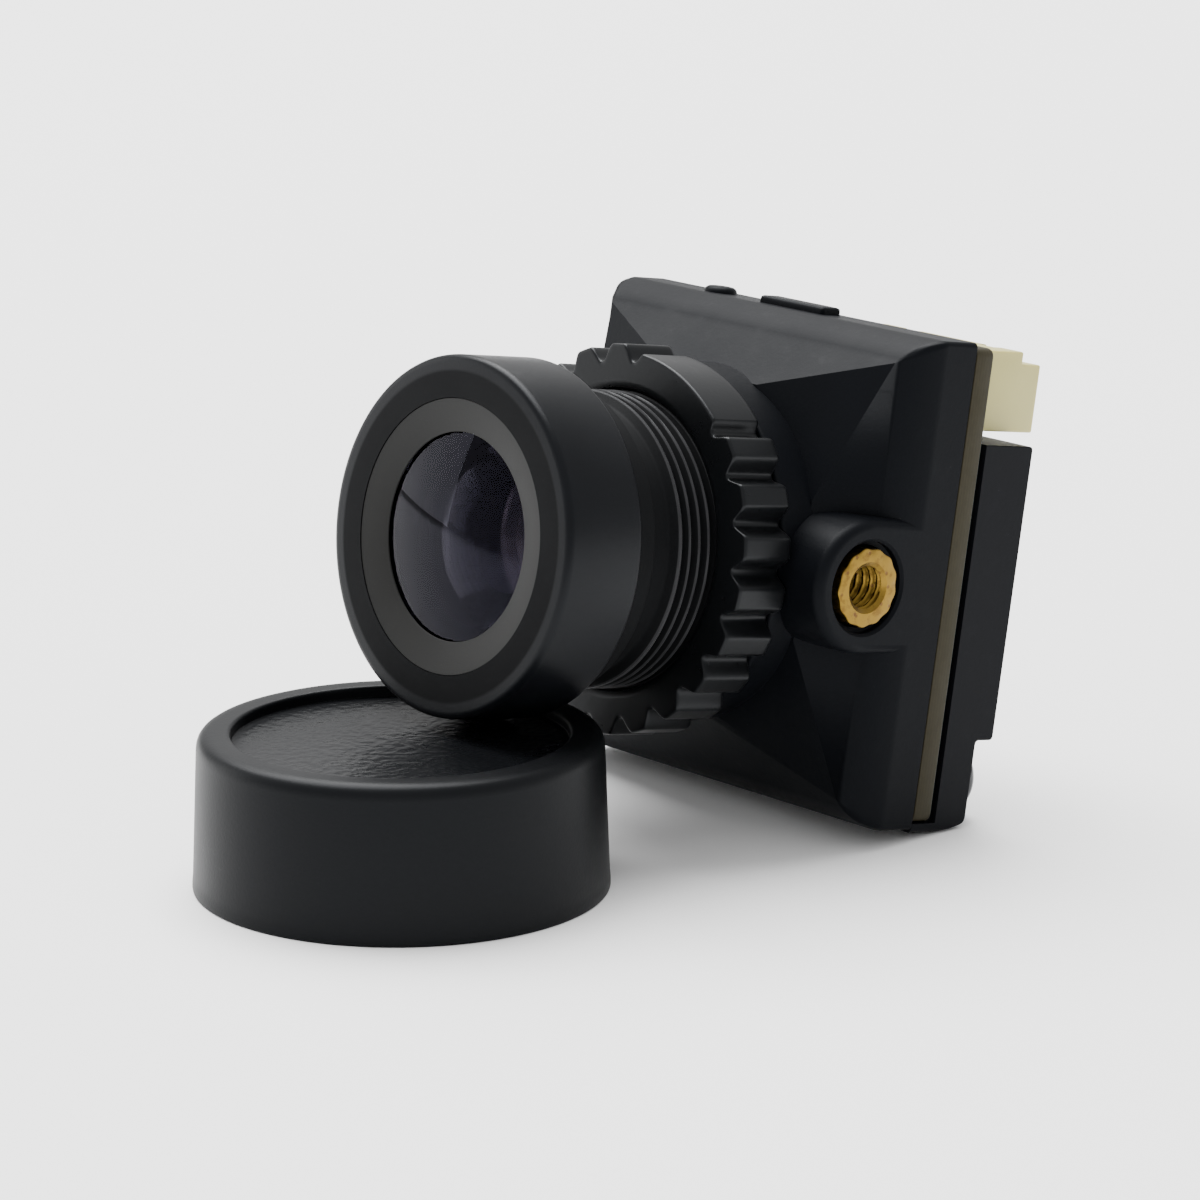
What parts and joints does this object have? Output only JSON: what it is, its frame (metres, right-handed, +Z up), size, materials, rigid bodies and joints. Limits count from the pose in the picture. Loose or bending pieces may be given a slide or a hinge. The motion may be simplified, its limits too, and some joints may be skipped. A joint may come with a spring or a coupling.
{
  "type": "micro camera with lens and lens cap",
  "caption": "Small board camera in a square housing with a threaded lens, lock ring and side inserts, its lens leaning on a round lens cap.",
  "frame": {"origin": "middle of the underside of the whole group's box, on the floor", "axes": "+Z up; the lens looks towards -Y and about 9.5 degrees up; +X to the right when looking along +Y"},
  "size_m": [0.019, 0.0354, 0.0206],
  "materials": {
    "housing": "moulded black plastic with a fine satin texture",
    "brass": "bright knurled brass",
    "board": "circuit board, dark solder mask with a bare glass-fibre edge",
    "ceramic": "matt ceramic",
    "lens_glass": "polished coated glass",
    "gasket": "black foam rubber",
    "chip": "moulded chip epoxy",
    "ferrite": "pressed ferrite",
    "metal_can": "drawn metal can",
    "connector": "ivory moulded nylon",
    "contact": "bright tin plate",
    "screw": "black oxide steel, glossy",
    "lens_metal": "black anodised aluminium, satin",
    "filter_glass": "coated filter glass",
    "cap": "soft black moulded plastic, orange-peel disc"
  },
  "bodies": {
    "cap": {"lens_cap": "cap"},
    "camera": {"front_housing": "housing", "rear_cover": "housing", "side_insert_left": "brass", "side_insert_right": "brass", "sensor_board": "board", "image_sensor": "ceramic", "input_capacitor": "ceramic", "output_capacitor": "ceramic", "sensor_window": "lens_glass", "dust_gasket": "gasket", "image_processor": "chip", "flash_memory": "chip", "voltage_regulator": "chip", "power_inductor": "ferrite", "clock_crystal": "metal_can", "connector_shroud": "connector", "connector_contact_1": "contact", "connector_contact_2": "contact", "connector_contact_3": "contact", "connector_contact_4": "contact", "connector_contact_5": "contact", "cover_screw_left": "screw", "cover_screw_right": "screw"},
    "lock_ring": {"lens_lock_ring": "lens_metal"},
    "lens": {"lens_barrel": "lens_metal", "lens_bezel_ring": "lens_metal", "front_element": "lens_glass", "front_spacer": "lens_metal", "second_element": "lens_glass", "aperture_stop": "lens_metal", "third_element": "lens_glass", "rear_spacer": "lens_metal", "rear_element": "lens_glass", "infrared_filter": "filter_glass"}
  },
  "joints": [
    {"name": "lift_off_cap", "type": "slide", "parent": "cap", "child": "camera", "axis": [0, 0, 1], "range_m": [0, 0.02]},
    {"name": "focus_turn", "type": "hinge", "parent": "camera", "child": "lock_ring", "pos_m": [0, 0.0111, 0.01046], "axis": [0, -0.9863, 0.1647], "range_deg": [-180, 180]},
    {"name": "focus_travel", "type": "slide", "parent": "lock_ring", "child": "lens", "axis": [0, -0.9863, 0.1647], "range_m": [-0.000251, 0.000251]}
  ],
  "couplings": [
    {"joint": "focus_travel", "follows": "focus_turn", "m_per_rad": 0.000079577}
  ]
}
